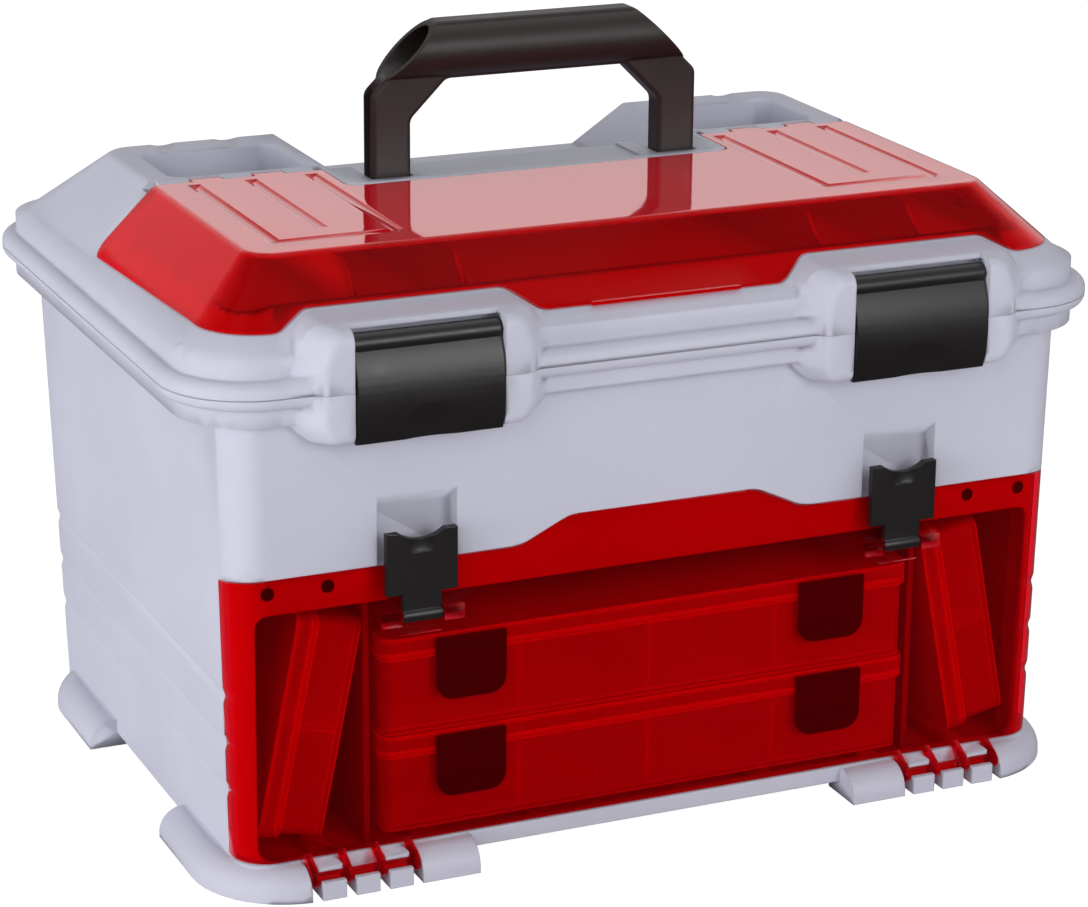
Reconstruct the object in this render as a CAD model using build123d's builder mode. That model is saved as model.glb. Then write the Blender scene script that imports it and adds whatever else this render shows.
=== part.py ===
from build123d import *
import os
from math import cos, hypot, radians, sin

# A front-loading plastic tool box: a drafted tub with a red door over four storage boxes,
# a latched lid with a red cover over a tray, two open wells and a folding carry handle.
# Millimetres, +Z up, the front faces -Y, the origin is on the floor below the middle of the box.

# Clearances
overrun = 2.0
seam_gap = 0.8
flat_gap = 0.3
pin_fit = 0.05
side_gap = 0.8

# Tub
front_reach = 167.0
tub_width_top = 433.0
tub_width_bottom = 425.0
tub_front = -148.0
tub_rear_top = 165.0
tub_rear_bottom = 150.0
tub_corner = 17.0
tub_wall = 3.0
tub_floor = 3.0
tub_bottom = 7.0
rim_bottom = 230.0
rim_top = 238.5
seam = 244.5
rim_width = 463.0
rim_front = -154.5
rim_rear = 171.5
rim_corner = 37.0
groove_low = 48.0
groove_pitch = 23.5
groove_count = 3
groove_half_mouth = 4.0
groove_half_floor = 1.0
groove_depth = 0.9

# Feet
feet_width = 454.0
feet_front = -163.0
feet_rear = 150.0
feet_corner = 48.0
foot_height = 14.5
foot_round = 12.0
foot_band = 26.0
feet_gap_front = 200.0
feet_gap_near = -65.0
feet_gap_far = 49.5

# Door and the jamb behind it
door_low = 16.0
door_high = 155.0
door_peak = 167.0
door_peak_width = 96.0
door_peak_foot_width = 147.0
door_peak_wing = 24.0
door_peak_round = 18.0
door_wrap = 20.0
door_wrap_drop = 3.0
door_thickness = 3.0
door_seat = 4.2
jamb_thickness = 3.0
jamb_margin = 7.0
opening_width = 406.0
opening_high = 137.0
opening_corner = 6.0

# Door hinges
door_axis_y = -157.0
door_axis_z = 9.0
door_rod_radius = 3.0
door_slot_inner = 129.0
door_slot_width = 55.0
door_arm_width = 3.4
door_arm_margin = 0.8
door_arm_count = 4
door_arm_reach = 4.0
door_arm_top = 18.5

# Door latches and their pockets
door_latch_x = 125.75
pocket_width = 39.5
pocket_depth = 9.0
pocket_top = 189.0
pocket_slope = 8.0
door_latch_width = 35.0
door_latch_top = 172.0
door_latch_waist = 142.0
door_latch_axis_y = -152.6
door_latch_axis_z = 131.0
door_tongue_width = 19.0
door_latch_thickness = 3.6
door_latch_end_radius = 3.4
trunnion_radius = 2.4
trunnion_length = 9.0
lug_width = 10.0
lug_height = 7.0
lug_reach = 3.6
scoop_radius = 18.0
scoop_depth = 4.0
dish_radius = 17.0
dish_depth = 1.5
dish_drop = 5.0
nose_width = 24.0
nose_height = 4.0
nose_drop = 12.0
nose_reach = 4.0
ledge_width = 22.0
ledge_height = 2.5
ledge_reach = 2.5
ledge_drop = 8.0

# Deck, partitions and runners of the lower bay
deck_low = 170.0
deck_thickness = 3.0
deck_gap = 0.5
apron_low = 140.0
apron_thickness = 3.0
apron_width = 401.0
ledge_depth = 10.0
ledge_thick = 5.0
ledge_length = 260.0
partition_inner = 143.6
partition_thickness = 3.0
partition_length = 278.0
runner_width = 10.0
runner_top = 15.7
runner_places = (60.0, 120.0, 170.0)
screw_places = (168.0, 197.0)
screw_height = 147.5
screw_radius = 1.5
screw_head_radius = 3.2
screw_head_height = 1.6
screw_length = 5.5

# Storage boxes
box_wall = 1.6
box_floor = 1.8
box_lip = 2.0
box_lid_height = 9.0
box_corner = 7.0
box_divider = 1.4
box_latch_thickness = 2.4
box_latch_round_share = 0.24
box_latch_gap = 0.2
box_travel = 3.2
centre_box_width = 280.0
centre_box_depth = 184.0
centre_box_height = 49.0
centre_box_rows = 2
centre_box_columns = 4
centre_latch_width = 35.0
centre_latch_height = 31.0
centre_latch_x = 95.5
side_box_length = 230.0
side_box_depth = 112.0
side_box_height = 33.0
side_box_rows = 2
side_box_columns = 3
side_box_lean = 11.5
side_box_gap = 0.4
side_box_set_back = 6.0
side_latch_width = 26.0
side_latch_height = 20.0
side_latch_x = 70.0

# Lid
lid_wall = 3.0
lid_ceiling = 262.0
bead_top = 252.0
bead_width = 476.0
bead_front = -161.0
bead_rear = 178.0
bead_corner = 43.0
bead_round = 5.6
step_top = 261.0
step_width = 462.0
step_front = -153.0
step_rear = 170.0
step_corner = 36.0
crown_base = 263.5
crown_top = 297.0
crown_base_width = 450.0
crown_base_front = -148.5
crown_base_rear = 163.0
crown_base_corner = 32.0
crown_top_width = 381.0
crown_top_front = -111.0
crown_top_rear = 116.0
crown_top_corner = 14.0
crown_edge_round = 6.0
crown_skirt = 6.0

# Lid hinge at the rear
lid_knuckle_radius = 5.0
lid_knuckle_width = 16.0
lid_knuckle_count = 5
lid_hinge_x = 120.0
lid_hinge_pin_radius = 2.0
lid_hinge_web = 9.0
lid_hinge_behind = 1.0

# Lid latches and their housings
lid_latch_x = 125.5
lid_latch_width = 71.0
lid_latch_axis_y = -157.0
lid_latch_axis_z = 265.0
lid_latch_barrel = 5.2
lid_latch_thickness = 3.4
lid_latch_ease = 0.1
lid_latch_bottom = 220.0
lid_latch_pin_radius = 2.0
lid_latch_pin_grip = 9.0
lid_latch_rib_height = 3.0
lid_latch_rib_width = 50.0
lid_latch_rib_up = 5.0
lid_latch_foot = 2.6
thumb_radius = 60.0
thumb_depth = 1.7
thumb_drop = 7.0
housing_bottom = 219.0
housing_top = 275.0
housing_front_outline = ((46.0, 221.0), (50.0, 229.0), (50.0, 258.0), (44.0, 272.0))
housing_base_outline = ((52.0, 219.0), (64.0, 230.0), (64.0, 254.0), (54.0, 275.0))
housing_front_corner = 8.0
housing_base_corner = 14.0
housing_round = 6.0
housing_set_back = 1.6
housing_base_y = -152.0
housing_rear = -134.0
keeper_set_back = 7.5
latch_slot_back = -150.5
latch_lip_y = -155.5
latch_lip_gap = 1.4

# Red cover and the tray below it
cover_thickness = 2.6
cover_seat = 3.4
cover_low = 267.2
cover_corner_low = 269.4
cover_side_low = 266.0
cover_lift_y = -105.0
cover_wave = 277.2
cover_wave_top_half = 49.0
cover_wave_foot_half = 64.0
cover_wave_wing = 17.0
cover_wave_round = 12.0
cover_corner_round = 8.0
cover_rear = 31.5
cover_lip_width = 76.0
cover_lip_reach = 2.2
cover_lip_height = 1.6
panel_grooves = (112.0, 143.0, 172.0)
panel_groove_radius = 6.0
panel_groove_depth = 1.1
panel_groove_front = -91.0
panel_groove_short = -74.0
panel_groove_rear = 26.0
tray_half_width = 206.0
tray_front = -127.0
tray_rear = 22.0
tray_floor = 265.0
tray_corner = 15.0
tray_divider_places = (92.0, 146.0)
tray_divider = 2.0
tray_notch_width = 12.0
tray_notch_height = 9.0
tray_notch_pitch = 34.0
tray_notch_count = 3

# Cover hinge
cover_axis_y = 35.5
cover_axis_z = 293.5
cover_knuckle_radius = 3.5
cover_knuckle_width = 15.2
cover_knuckle_count = 5
cover_hinge_x = 147.0
cover_pin_radius = 1.25
cover_trough_end = 194.0

# Wells, channel and handle island
well_width = 70.0
well_length = 55.0
well_x = 142.0
well_y = 71.5
well_floor = 272.0
well_corner = 8.0
well_flare = ((2.4, 0.0), (0.7, 0.7), (0.0, 2.4))
well_dip_radius = 14.0
well_dip_depth = 1.8
well_dip_place = 17.0
island_half = 104.0
island_front = -5.0
island_corner = 7.0
channel_front = 32.0
channel_floor = 266.0
channel_base_half = 89.5
channel_top_half = 100.0
island_hollow_half = 60.0
island_recess_half = 56.0
island_recess_depth = 1.2

# Carry handle
handle_half_width = 87.5
handle_post_width = 20.5
handle_post_depth = 14.0
handle_post_y = 11.5
handle_bottom = 281.5
handle_shoulder = 338.0
handle_top = 372.0
handle_grip_radius = 14.3
handle_grip_half = 53.0
handle_arch_half = 48.0
handle_arch_low = 324.5
handle_wall = 3.0
handle_corner = 6.0
handle_edge = 2.5
handle_pivot_y = 12.6
handle_pin_radius = 2.5
handle_pin_grip = 4.5
handle_slot_floor = 273.0

# Places worked out from the sizes above
front = tub_front
reach = front_reach
floor_top = tub_bottom + tub_floor
lid_bottom = seam + flat_gap
lid_axis_y = bead_rear + lid_hinge_behind
rear_reach = lid_axis_y + lid_knuckle_radius
frame_shift = (reach - rear_reach) / 2
door_inner = front + door_thickness
sides = (-1, 1)


def block(x_range, y_range, z_range, mode=Mode.ADD):
    """A plain block between two heights, two widths and two depths."""
    spans = (x_range, y_range, z_range)
    middle = tuple((low + high) / 2 for low, high in spans)
    size = tuple(high - low for low, high in spans)
    with Locations(middle):
        Box(*size, mode=mode)


def both(side, low, high):
    """The span from low to high on one side of the middle plane, in rising order."""
    return tuple(sorted((side * low, side * high)))


def around(middle, half):
    """The span that reaches half to each side of middle."""
    return (middle - half, middle + half)


def rod_x(x_range, y, z, radius, mode=Mode.ADD):
    """A round bar that lies along X."""
    low, high = x_range
    with Locations(Location(((low + high) / 2, y, z), (0, 90, 0))):
        Cylinder(radius, high - low, mode=mode)


def rod_y(x, y_range, z, radius, mode=Mode.ADD):
    """A round bar that lies along Y."""
    low, high = y_range
    with Locations(Location((x, (low + high) / 2, z), (90, 0, 0))):
        Cylinder(radius, high - low, mode=mode)


def prism_x(points, x_range, mode=Mode.ADD):
    """A profile of (y, z) points carried along X."""
    low, high = x_range
    with BuildSketch(Plane.YZ.offset(low)) as profile:
        with BuildLine():
            Polyline(*points, close=True)
        make_face()
    extrude(profile.sketch, amount=high - low, mode=mode)


def soft_face_y(points, y, radius):
    """A face of (x, z) points at one depth, with every corner rounded."""
    with BuildSketch(Plane.XZ.offset(-y)) as profile:
        with BuildLine():
            FilletPolyline(*points, radius=radius, close=True)
        make_face()
    return profile.sketch


def soft_prism_y(points, y_range, radius, mode=Mode.ADD):
    """A profile of (x, z) points with rounded corners, carried along Y."""
    low, high = y_range
    extrude(soft_face_y(points, low, radius), amount=low - high, mode=mode)


def ring(z, width, y_front, y_rear, corner):
    """A rounded rectangle at one height, between a front and a rear line."""
    with BuildSketch(Plane.XY.offset(z)) as outline:
        with Locations((0, (y_front + y_rear) / 2)):
            RectangleRounded(width, y_rear - y_front, corner)
    return outline.sketch


def prism_y(points, y_range, mode=Mode.ADD):
    """A profile of (x, z) points carried along Y."""
    low, high = y_range
    with BuildSketch(Plane.XZ.offset(-low)) as profile:
        with BuildLine():
            Polyline(*points, close=True)
        make_face()
    extrude(profile.sketch, amount=low - high, mode=mode)


def tub_width(z):
    """The drafted width of the tub at one height."""
    share = (z - tub_bottom) / (rim_bottom - tub_bottom)
    return tub_width_bottom + share * (tub_width_top - tub_width_bottom)


def tub_rear(z):
    """The drafted rear face of the tub at one height."""
    share = (z - tub_bottom) / (rim_bottom - tub_bottom)
    return tub_rear_bottom + share * (tub_rear_top - tub_rear_bottom)


def tub_section(inset, z):
    """The tub's outline at one height, drawn in by an even inset."""
    width = tub_width(z) - 2 * inset
    return ring(z, width, front + inset, tub_rear(z) - inset, tub_corner - inset)


def tub(inset, z_low, z_high, mode=Mode.ADD):
    """The drafted tub drawn in by an even inset, between two heights."""
    loft([tub_section(inset, z_low), tub_section(inset, z_high)], ruled=True, mode=mode)


def crown(inset):
    """The sloping top of the lid, drawn in by an even inset square to its faces, on a short skirt."""
    rise = crown_top - crown_base
    base_lines = []
    top_lines = []
    for base, top in (
        (crown_base_width / 2, crown_top_width / 2),
        (-crown_base_front, -crown_top_front),
        (crown_base_rear, crown_top_rear),
    ):
        run = base - top
        shift = inset * hypot(run, rise) / rise
        base_lines.append(base - shift)
        top_lines.append(top + inset * run / rise - shift)
    base_half, base_near, base_far = base_lines
    top_half, top_near, top_far = top_lines
    base_corner = crown_base_corner - (crown_base_width / 2 - base_half)
    low = ring(crown_base, 2 * base_half, -base_near, base_far, base_corner)
    high = ring(crown_top - inset, 2 * top_half, -top_near, top_far, crown_top_corner)
    with BuildPart() as solid:
        loft([low, high], ruled=True)
        if crown_edge_round > inset:
            fillet(solid.edges().group_by(Axis.Z)[-1], crown_edge_round - inset)
        extrude(low, amount=-crown_skirt)
    return solid.part


def door_zone(grow):
    """The space that the door takes up, grown by a gap for its seat in the tub."""
    low = door_low - grow
    high = door_high + grow
    rear = front + door_wrap + grow
    outside = front - overrun
    across = tub_width_top / 2 + overrun
    wrap_profile = (
        (outside, low),
        (rear, low),
        (rear, high - door_wrap_drop),
        (front, high),
        (outside, high),
    )
    prism_x(wrap_profile, (-across, across))
    foot = door_peak_foot_width / 2 + grow
    wing = foot + door_peak_wing
    top = door_peak_width / 2 + grow
    base = high - 2 * door_peak_wing
    peak_profile = (
        (-wing, base),
        (wing, base),
        (wing, high),
        (foot, high),
        (top, door_peak + grow),
        (-top, door_peak + grow),
        (-foot, high),
        (-wing, high),
    )
    soft_prism_y(peak_profile, (outside, rear), door_peak_round)


def cover_zone(grow):
    """The space that the red cover takes up, grown by a gap for its seat in the lid."""
    low = cover_low - grow
    corner_low = cover_corner_low - grow
    rear = cover_rear + grow
    top = crown_top + cover_corner_round + overrun
    across = crown_base_width / 2 + overrun
    outside = crown_base_front - overrun
    with BuildSketch(Plane.YZ.offset(-across)) as side_view:
        with BuildLine():
            FilletPolyline(
                (outside - cover_corner_round, corner_low),
                (cover_lift_y, corner_low),
                (rear, cover_side_low - grow),
                (rear, top),
                (outside - cover_corner_round, top),
                radius=cover_corner_round,
                close=True,
            )
        make_face()
    extrude(side_view.sketch, amount=2 * across)
    middle_half = lid_latch_x - cover_wave_top_half
    block(around(0, middle_half), (outside, crown_top_front), (low, corner_low + overrun))
    for side in sides:
        middle = side * lid_latch_x
        foot = cover_wave_foot_half - grow
        wing = cover_wave_foot_half + cover_wave_wing
        crest = cover_wave_top_half - grow
        base = low - 2 * cover_wave_wing
        wave = (
            (middle - side * wing, base),
            (middle + side * wing, base),
            (middle + side * wing, corner_low),
            (middle + side * foot, corner_low),
            (middle + side * crest, cover_wave - grow),
            (middle - side * crest, cover_wave - grow),
            (middle - side * foot, low),
            (middle - side * wing, low),
        )
        wave_y = (outside - cover_corner_round - overrun, crown_top_front)
        soft_prism_y(wave, wave_y, cover_wave_round, mode=Mode.SUBTRACT)
    notch_rear = rear + 2 * island_corner
    notch = ring(low - overrun, 2 * (island_half - grow), island_front + grow, notch_rear, island_corner)
    extrude(notch, amount=top - low + 2 * overrun, mode=Mode.SUBTRACT)


def knuckles(count, width, middle, gap):
    """The spans of a row of hinge knuckles, centred on middle."""
    pitch = width + gap
    start = middle - (count * pitch - gap) / 2
    return [(start + place * pitch, start + place * pitch + width) for place in range(count)]


# Places along the door hinge slot: four arms of the door with three spaces between them
def slot_arms(side):
    """The spans of the door's arms in one hinge slot."""
    inner = door_slot_inner + door_arm_margin
    pitch = (door_slot_width - 2 * door_arm_margin - door_arm_width) / (door_arm_count - 1)
    starts = [inner + place * pitch for place in range(door_arm_count)]
    return [both(side, start, start + door_arm_width) for start in starts]


def slot_spaces(side):
    """The spans between the door's arms in one hinge slot, clear of the arms."""
    arms = sorted(slot_arms(side))
    return [(left[1] + side_gap, right[0] - side_gap) for left, right in zip(arms, arms[1:])]


def housing(side):
    """The block round one lid latch: it narrows to its front and has soft edges all round."""
    faces = []
    for outline, y, corner in (
        (housing_front_outline, housing_set_back - reach, housing_front_corner),
        (housing_base_outline, housing_base_y, housing_base_corner),
    ):
        middle = side * lid_latch_x
        right_half = [(middle + half, z) for half, z in outline]
        left_half = [(middle - half, z) for half, z in reversed(outline)]
        faces.append(soft_face_y(right_half + left_half, y, corner))
    with BuildPart() as cheeks:
        loft(faces, ruled=True)
        fillet(cheeks.edges().group_by(Axis.Y)[0], housing_round)
        extrude(faces[-1], amount=housing_base_y - housing_rear)
    return cheeks.part


# Feet: a quarter-round plate, cut back to four corners
with BuildPart() as feet:
    extrude(ring(0, feet_width, feet_front, feet_rear, feet_corner), amount=foot_height)
    fillet(feet.edges().group_by(Axis.Z)[-1], foot_round)
    foot_span = (-overrun, foot_height + overrun)
    inner_feet = ring(
        foot_span[0],
        feet_width - 2 * foot_band,
        feet_front + foot_band,
        feet_rear - foot_band,
        tub_corner,
    )
    extrude(inner_feet, amount=foot_span[1] - foot_span[0], mode=Mode.SUBTRACT)
    block(around(0, feet_gap_front / 2), (-reach, rear_reach), foot_span, mode=Mode.SUBTRACT)
    block(around(0, feet_width), (feet_gap_near, feet_gap_far), foot_span, mode=Mode.SUBTRACT)

# The layer of the tub that the door replaces
with BuildPart() as door_seat_cut:
    door_zone(seam_gap)
    tub(door_seat, tub_bottom, rim_bottom, mode=Mode.SUBTRACT)

# Thicker wall behind the door, which becomes its jamb
with BuildPart() as jamb:
    jamb_top = door_peak + jamb_margin
    jamb_inset = door_seat + jamb_thickness
    tub(tub_wall / 2, tub_bottom, jamb_top)
    tub(jamb_inset, tub_bottom - overrun, jamb_top + overrun, mode=Mode.SUBTRACT)
    block(
        around(0, tub_width_top),
        (front + door_wrap + jamb_margin, rear_reach),
        (tub_bottom - overrun, jamb_top + overrun),
        mode=Mode.SUBTRACT,
    )

# Three shallow grooves that run round the tub and the door
with BuildPart() as groove_rings:
    for row in range(groove_count):
        height = groove_low + row * groove_pitch
        tub(-overrun, height - groove_half_mouth, height + groove_half_mouth)
        waist = (
            (0, height - groove_half_mouth),
            (groove_depth, height - groove_half_floor),
            (groove_depth, height + groove_half_floor),
            (0, height + groove_half_mouth),
        )
        levels = [tub_section(inset, z) for inset, z in waist]
        loft(levels, ruled=True, mode=Mode.SUBTRACT)

# Cheeks of the two lid latches, one part on the tub's rim and one on the lid
housings = [housing(side) for side in sides]
with BuildPart() as lower_housings:
    add(housings)
    across_all = around(0, bead_width / 2)
    block(across_all, (-reach - overrun, front + tub_wall / 2), (tub_bottom, seam), mode=Mode.INTERSECT)

with BuildPart() as upper_housings:
    add(housings)
    block(across_all, (-reach - overrun, housing_rear), (lid_bottom, crown_top), mode=Mode.INTERSECT)

# The lower half of the bead, which the tub's rim carries
with BuildPart() as rim_bead:
    extrude(ring(rim_top, bead_width, bead_front, bead_rear, bead_corner), amount=seam - rim_top)
    fillet(rim_bead.edges().group_by(Axis.Z)[0], bead_round)

# Tub
with BuildPart() as body_shell:
    tub(0, tub_bottom, rim_bottom)
    extrude(ring(rim_bottom, rim_width, rim_front, rim_rear, rim_corner), amount=seam - rim_bottom)
    add(rim_bead.part)
    add(lower_housings.part)
    add(feet.part)
    tub(tub_wall, floor_top, seam + overrun, mode=Mode.SUBTRACT)
    add(jamb.part)
    for side in sides:
        pocket_x = around(side * door_latch_x, pocket_width / 2 + tub_wall)
        pocket_y = (front + tub_wall / 2, front + pocket_depth + tub_wall)
        block(pocket_x, pocket_y, (door_high - tub_wall, pocket_top + tub_wall))
        wall_x = both(side, tub_width(deck_low) / 2 - tub_wall - ledge_depth, tub_width_bottom / 2)
        block(wall_x, around(0, ledge_length / 2), (deck_low - ledge_thick - flat_gap, deck_low - flat_gap))
        for place in runner_places:
            runner_x = around(side * place, runner_width / 2)
            runner_y = (front + jamb_inset, tub_rear_bottom - tub_wall / 2)
            block(runner_x, runner_y, (tub_bottom + tub_floor / 2, runner_top))
    add(door_seat_cut.part, mode=Mode.SUBTRACT)
    add(groove_rings.part, mode=Mode.SUBTRACT)
    opening_low = door_low - seam_gap
    with BuildSketch(Plane.XZ.offset(-front + overrun)):
        with Locations((0, (opening_low + opening_high) / 2)):
            RectangleRounded(opening_width, opening_high - opening_low, opening_corner)
    extrude(amount=-(jamb_inset + tub_corner), mode=Mode.SUBTRACT)
    for side in sides:
        pocket_profile = (
            (front - overrun, door_high),
            (front + pocket_depth, door_high),
            (front + pocket_depth, pocket_top - pocket_slope),
            (front, pocket_top),
            (front - overrun, pocket_top),
        )
        prism_x(pocket_profile, around(side * door_latch_x, pocket_width / 2), mode=Mode.SUBTRACT)
        latch_x = around(side * lid_latch_x, lid_latch_width / 2 + side_gap)
        latch_y = (-reach - overrun, keeper_set_back - reach)
        block(latch_x, latch_y, (housing_bottom - overrun, seam + overrun), mode=Mode.SUBTRACT)
        # Slot in the front foot for the door's hinge, with hooks over its rod and teeth under it
        slot_x = both(side, door_slot_inner, door_slot_inner + door_slot_width)
        block(slot_x, (-reach - overrun, front), (-overrun, foot_height + overrun), mode=Mode.SUBTRACT)
        for place, space in enumerate(slot_spaces(side)):
            tooth_y = (feet_front, front + tub_wall / 2)
            block(space, tooth_y, (0, door_axis_z))
            if place != door_arm_count // 2 - 1:
                block(space, (door_axis_y, front + tub_wall / 2), (0, foot_height))
        rod_x(slot_x, door_axis_y, door_axis_z, door_rod_radius + pin_fit, mode=Mode.SUBTRACT)
        for place in screw_places:
            rod_y(
                side * place,
                (front + door_seat - overrun, front + jamb_inset + overrun),
                screw_height,
                screw_radius + pin_fit,
                mode=Mode.SUBTRACT,
            )
            rod_y(
                side * place,
                (front + door_seat - overrun, front + door_seat + screw_head_height + pin_fit),
                screw_height,
                screw_head_radius + pin_fit,
                mode=Mode.SUBTRACT,
            )
        # Rear hinge knuckles of the tub
        spans = knuckles(lid_knuckle_count, lid_knuckle_width, side * lid_hinge_x, side_gap)
        for span in spans[1::2]:
            clear = (span[0] - side_gap, span[1] + side_gap)
            rod_x(clear, lid_axis_y, seam, lid_knuckle_radius + side_gap, mode=Mode.SUBTRACT)
        for span in spans[::2]:
            block(span, (rim_rear - lid_knuckle_radius, lid_axis_y), (seam - lid_hinge_web, seam))
            rod_x(span, lid_axis_y, seam, lid_knuckle_radius)
        whole = (spans[0][0] - overrun, spans[-1][1] + overrun)
        rod_x(whole, lid_axis_y, seam, lid_hinge_pin_radius + pin_fit, mode=Mode.SUBTRACT)

# Deck over the lower bay, with an apron that screws to the lintel
with BuildPart() as mid_deck:
    tub(jamb_inset + deck_gap, deck_low, deck_low + deck_thickness)
    deck_front = front + jamb_inset + deck_gap
    block(
        around(0, apron_width / 2),
        (deck_front, deck_front + apron_thickness),
        (apron_low, deck_low + deck_thickness / 2),
    )
    for side in sides:
        notch_x = around(side * door_latch_x, pocket_width / 2 + tub_wall + deck_gap)
        notch_y = (-reach, front + pocket_depth + tub_wall + deck_gap)
        block(notch_x, notch_y, (door_high - tub_wall - deck_gap, seam), mode=Mode.SUBTRACT)
        for place in screw_places:
            rod_y(side * place, (-reach, 0), screw_height, screw_radius + pin_fit, mode=Mode.SUBTRACT)

with BuildPart() as deck_screws:
    for side in sides:
        for place in screw_places:
            head_start = front + door_seat
            head_y = (head_start, head_start + screw_head_height)
            rod_y(side * place, head_y, screw_height, screw_head_radius)
            rod_y(side * place, (head_start, head_start + screw_length), screw_height, screw_radius)


def partition(side):
    """One upright panel between the stacked boxes and a leaning one."""
    with BuildPart() as panel:
        outer = partition_inner + partition_thickness
        rear = tub_rear(floor_top) - tub_wall - deck_gap
        rear_span = (rear - partition_length, rear)
        panel_z = (floor_top + flat_gap / 2, deck_low - flat_gap)
        block(both(side, partition_inner, outer), rear_span, panel_z)
    return panel


partitions = {"left": partition(-1), "right": partition(1)}

# Door: a shell of the tub's own front with wrapped ends, hinge arms and latch lugs
with BuildPart() as door_space:
    door_zone(0)

with BuildPart() as front_door:
    tub(0, tub_bottom, rim_bottom)
    tub(door_thickness, tub_bottom - overrun, rim_bottom + overrun, mode=Mode.SUBTRACT)
    add(door_space.part, mode=Mode.INTERSECT)
    add(groove_rings.part, mode=Mode.SUBTRACT)
    for side in sides:
        arms = sorted(slot_arms(side))
        arm_profile = (
            (door_axis_y - door_arm_reach, door_axis_z),
            (door_axis_y - door_arm_reach / 2, door_axis_z + door_arm_reach),
            (front - side_gap, door_arm_top),
            (door_inner - door_thickness / 2, door_arm_top),
            (door_inner - door_thickness / 2, door_low),
            (front - side_gap, door_low - side_gap),
            (door_axis_y + door_arm_reach, door_axis_z),
        )
        for arm in arms:
            prism_x(arm_profile, arm)
            rod_x(arm, door_axis_y, door_axis_z, door_arm_reach)
        rod_x((arms[0][0], arms[-1][1]), door_axis_y, door_axis_z, door_rod_radius)
        middle = side * door_latch_x
        tongue_half = door_tongue_width / 2 + side_gap
        lug_y = (door_latch_axis_y - lug_reach, door_inner - door_thickness / 2)
        for hand in sides:
            lug_x = both(hand, tongue_half, tongue_half + lug_width)
            lug_x = (middle + lug_x[0], middle + lug_x[1])
            block(lug_x, lug_y, around(door_latch_axis_z, lug_height / 2))
        ledge_z = door_latch_axis_z - ledge_drop
        block(
            around(middle, ledge_width / 2),
            (front - ledge_reach, door_inner - door_thickness / 2),
            (ledge_z - ledge_height, ledge_z),
        )
        hole_x = around(middle, tongue_half + trunnion_length + side_gap)
        hole_radius = trunnion_radius + pin_fit
        rod_x(hole_x, door_latch_axis_y, door_latch_axis_z, hole_radius, mode=Mode.SUBTRACT)


def door_latch(side):
    """A waisted latch that snaps between the lugs of the door on its own trunnions."""
    middle = side * door_latch_x
    plate_y = around(door_latch_axis_y, door_latch_thickness / 2)
    with BuildPart() as latch:
        wide = around(middle, door_latch_width / 2)
        tongue = around(middle, door_tongue_width / 2)
        block(wide, plate_y, (door_latch_waist, door_latch_top))
        block(tongue, plate_y, (door_latch_axis_z, door_latch_waist))
        rod_x(tongue, door_latch_axis_y, door_latch_axis_z, door_latch_end_radius)
        scoop_z = door_latch_top + scoop_radius - scoop_depth
        rod_y(middle, (-reach - overrun, front), scoop_z, scoop_radius, mode=Mode.SUBTRACT)
        with Locations((middle, plate_y[0] - dish_radius + dish_depth, door_latch_top - dish_drop)):
            Sphere(dish_radius, mode=Mode.SUBTRACT)
        pin_x = around(middle, door_tongue_width / 2 + side_gap + trunnion_length)
        rod_x(pin_x, door_latch_axis_y, door_latch_axis_z, trunnion_radius)
        nose_top = door_latch_top - nose_drop + nose_height / 2
        block(
            around(middle, nose_width / 2),
            (plate_y[0], plate_y[1] + nose_reach),
            (nose_top - nose_height, nose_top),
        )
    return latch


door_latches = {"left": door_latch(-1), "right": door_latch(1)}

# Upper half of the rolled bead, which the lid carries
with BuildPart() as bead:
    extrude(ring(lid_bottom, bead_width, bead_front, bead_rear, bead_corner), amount=bead_top - lid_bottom)
    fillet(bead.edges().group_by(Axis.Z)[-1], bead_round)

# The crown's own face, the faces below the cover and its seat, and the faces inside the lid's wall
outer_crown = crown(0)
crown_below_cover = crown(cover_thickness)
seat_crown = crown(cover_seat)
crown_below_lid = crown(lid_wall)
crown_below_seat = crown(cover_seat + lid_wall)

# The layer of the lid that the red cover replaces
with BuildPart() as cover_seat_cut:
    cover_zone(seam_gap)
    add(seat_crown, mode=Mode.SUBTRACT)

# Hollows below the rear of the crown
with BuildPart() as hollow_blocks:
    hollow_z = (crown_base - crown_skirt, crown_top)
    for side in sides:
        far = crown_base_width / 2
        well_outer = well_x + well_width / 2 + lid_wall
        well_back = well_y + well_length / 2 + lid_wall
        well_front = well_y - well_length / 2 - lid_wall
        block(both(side, well_outer, far), (well_front, crown_base_rear), hollow_z)
        near = channel_top_half + lid_wall
        block(both(side, near, far), (well_back, crown_base_rear), hollow_z)
        below_x = around(side * well_x, well_width / 2 + lid_wall)
        below_y = around(well_y, well_length / 2 + lid_wall)
        block(below_x, below_y, (hollow_z[0], well_floor - lid_wall))

with BuildPart() as lid_hollow:
    add(crown_below_lid)
    add(hollow_blocks.part, mode=Mode.INTERSECT)

# Hollow below the cover's seat, round the front and the sides of the tray
with BuildPart() as seat_hollow:
    add(crown_below_seat)
    hollow_half = tray_half_width + lid_wall
    tray_box_y = (tray_front - lid_wall, rear_reach)
    cut_z = (hollow_z[0] - overrun, crown_top)
    block(around(0, hollow_half), tray_box_y, cut_z, mode=Mode.SUBTRACT)
    block(around(0, crown_base_width), (well_front, rear_reach), cut_z, mode=Mode.SUBTRACT)

# Fixed dividers of the tray below the cover
with BuildPart() as divider_blocks:
    for side in sides:
        for place in tray_divider_places:
            reach_back = tray_rear if place > island_half + lid_wall else island_front - lid_wall
            block(
                around(side * place, tray_divider / 2),
                (tray_front - lid_wall / 2, reach_back + lid_wall / 2),
                (tray_floor - lid_wall / 2, crown_top),
            )

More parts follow.
